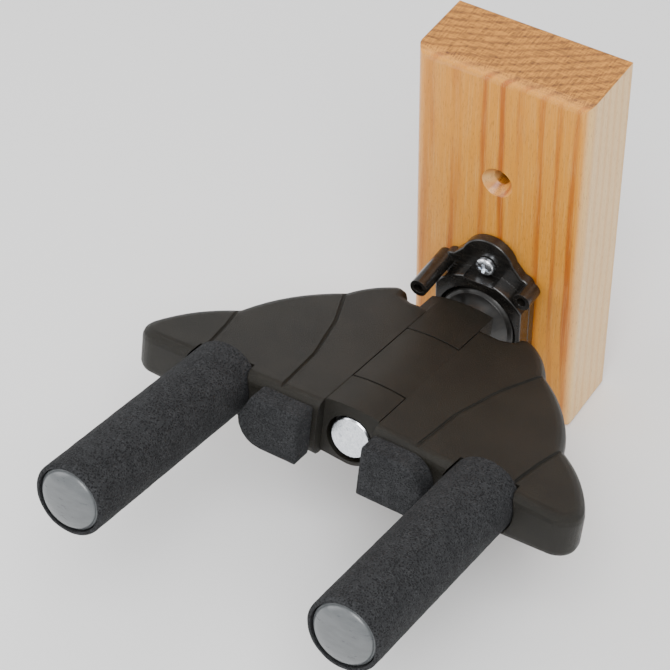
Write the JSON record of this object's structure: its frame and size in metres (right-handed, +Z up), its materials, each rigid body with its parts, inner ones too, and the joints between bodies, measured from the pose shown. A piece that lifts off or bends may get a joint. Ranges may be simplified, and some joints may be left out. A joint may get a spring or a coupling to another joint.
{
  "type": "wall guitar hanger",
  "caption": "Wall hanger for a guitar: wooden wall block, moulded bracket, and two hinged wings with foam-covered arms that swing down together under load.",
  "frame": {"origin": "centre of the wooden block's back face, on the wall", "axes": "+Z up, -Y out of the wall towards the player, +X to the right of someone facing the wall"},
  "size_m": [0.14, 0.1765, 0.125],
  "materials": {
    "block_wood": "satin varnish",
    "black_plastic": "fine spark texture",
    "bracket_plastic": "gloss",
    "bush_nylon": "satin",
    "sleeve_foam": "closed-cell foam",
    "pad_foam": "closed-cell foam",
    "cap_plastic": "gloss",
    "zinc_plate": "bright zinc plate",
    "rod_steel": "drawn bar",
    "spring_steel": "oiled wire"
  },
  "bodies": {
    "wall_base": {"wood_block": "block_wood", "wall_bracket": "bracket_plastic", "bracket_screw_top": "zinc_plate", "bracket_screw_left": "zinc_plate", "bracket_screw_right": "zinc_plate", "pivot_bolt": "zinc_plate", "lock_nut": "zinc_plate", "socket_flange": "bush_nylon", "front_washer": "bush_nylon"},
    "left_arm_group": {"left_wing": "black_plastic", "left_arm_rod": "rod_steel", "left_foam_sleeve": "sleeve_foam", "left_end_cap": "cap_plastic", "left_neck_pad": "pad_foam", "left_rod_screw": "zinc_plate", "left_bush_front": "bush_nylon", "left_bush_rear": "bush_nylon"},
    "right_arm_group": {"right_wing": "black_plastic", "right_arm_rod": "rod_steel", "right_foam_sleeve": "sleeve_foam", "right_end_cap": "cap_plastic", "right_neck_pad": "pad_foam", "right_rod_screw": "zinc_plate", "right_bush": "bush_nylon", "torsion_spring": "spring_steel"}
  },
  "joints": [
    {"name": "left_wing_fold", "type": "hinge", "parent": "wall_base", "child": "left_arm_group", "pos_m": [0, -0.0321, -0.0245], "axis": [0, -0.9781, 0.2079], "range_deg": [0, 18], "stiffness_Nm_per_rad": 0.5, "springref_deg": -20.05, "deforming": ["torsion_spring"]},
    {"name": "right_wing_fold", "type": "hinge", "parent": "wall_base", "child": "right_arm_group", "pos_m": [0, -0.0321, -0.0245], "axis": [0, -0.9781, 0.2079], "range_deg": [-18, 0], "stiffness_Nm_per_rad": 0.5, "springref_deg": 20.05, "deforming": ["torsion_spring"]}
  ],
  "couplings": [
    {"joint": "right_wing_fold", "follows": "left_wing_fold", "ratio": -1}
  ]
}
